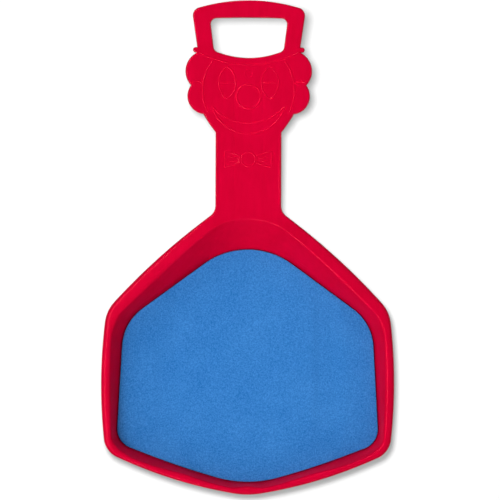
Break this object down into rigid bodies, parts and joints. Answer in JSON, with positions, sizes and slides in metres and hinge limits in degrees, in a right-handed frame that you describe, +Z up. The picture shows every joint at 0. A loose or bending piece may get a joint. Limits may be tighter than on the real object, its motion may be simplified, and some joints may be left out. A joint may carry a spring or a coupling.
{
  "type": "snow slider",
  "caption": "Child's one-piece plastic snow slider: a hexagonal pan with a foam seat pad and a short stem that ends in a hat-shaped grip with a finger opening.",
  "frame": {"origin": "centre of the slider's bounding box, on the ground plane under the runners' soles", "axes": "+Z up from the ground; +Y along the slider from the pan's tail towards the grip; X across it, the plane of symmetry being X = 0"},
  "size_m": [0.3322, 0.5602, 0.0778],
  "materials": {
    "red_plastic": "satin",
    "blue_foam": "matte",
    "adhesive_film": "matte"
  },
  "bodies": {
    "root": {"moulded_shell": "red_plastic", "seat_pad": "blue_foam", "pad_adhesive": "adhesive_film"}
  },
  "joints": []
}
